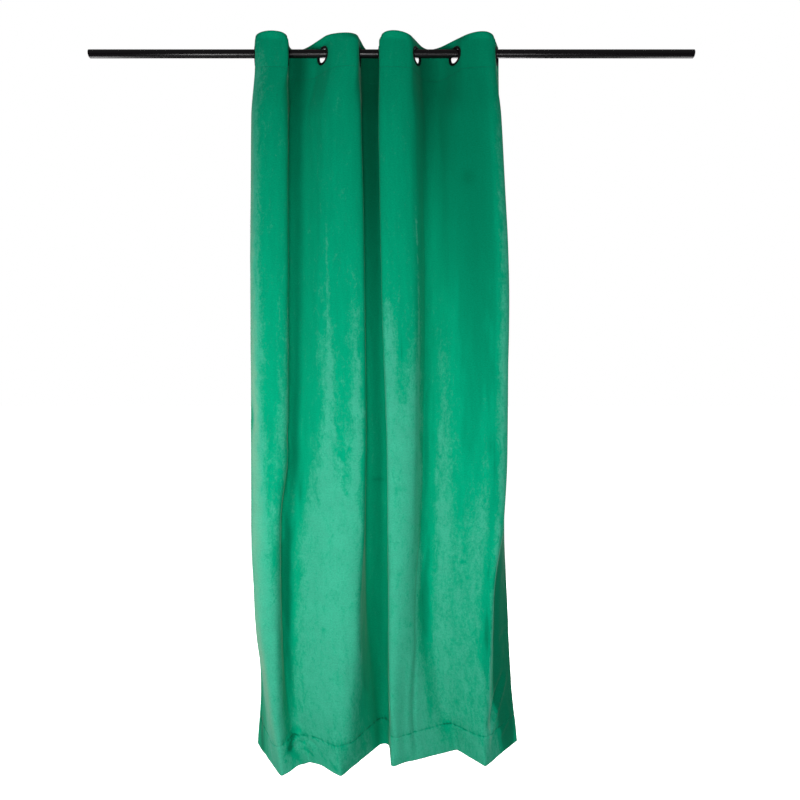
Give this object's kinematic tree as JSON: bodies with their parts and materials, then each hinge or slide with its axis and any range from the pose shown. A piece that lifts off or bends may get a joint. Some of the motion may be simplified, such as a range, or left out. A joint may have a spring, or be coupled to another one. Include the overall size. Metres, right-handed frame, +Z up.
{
  "type": "velvet eyelet curtain panel on a rod",
  "caption": "Full-length plain velvet curtain panel with eyelets, hanging in deep uneven folds from a plain round rod.",
  "frame": {"origin": "on the rod's axis, at the middle of its length", "axes": "+X along the rod, to the right as seen from the room; -Y into the room; +Z up"},
  "size_m": [2.1, 0.1903, 2.5008],
  "materials": {
    "velvet": "emerald green cotton velvet with a short pile, paler where the nap is brushed",
    "eyelet": "black plastic, each eyelet two halves pressed together through the cloth",
    "rod": "smooth black lacquer"
  },
  "bodies": {
    "root": {"velvet_panel": "velvet", "curtain_rod": "rod", "eyelet_1_face": "eyelet", "eyelet_1_back": "eyelet", "eyelet_2_face": "eyelet", "eyelet_2_back": "eyelet", "eyelet_3_face": "eyelet", "eyelet_3_back": "eyelet", "eyelet_4_face": "eyelet", "eyelet_4_back": "eyelet", "eyelet_5_face": "eyelet", "eyelet_5_back": "eyelet", "eyelet_6_face": "eyelet", "eyelet_6_back": "eyelet", "eyelet_7_face": "eyelet", "eyelet_7_back": "eyelet", "eyelet_8_face": "eyelet", "eyelet_8_back": "eyelet"}
  },
  "joints": []
}
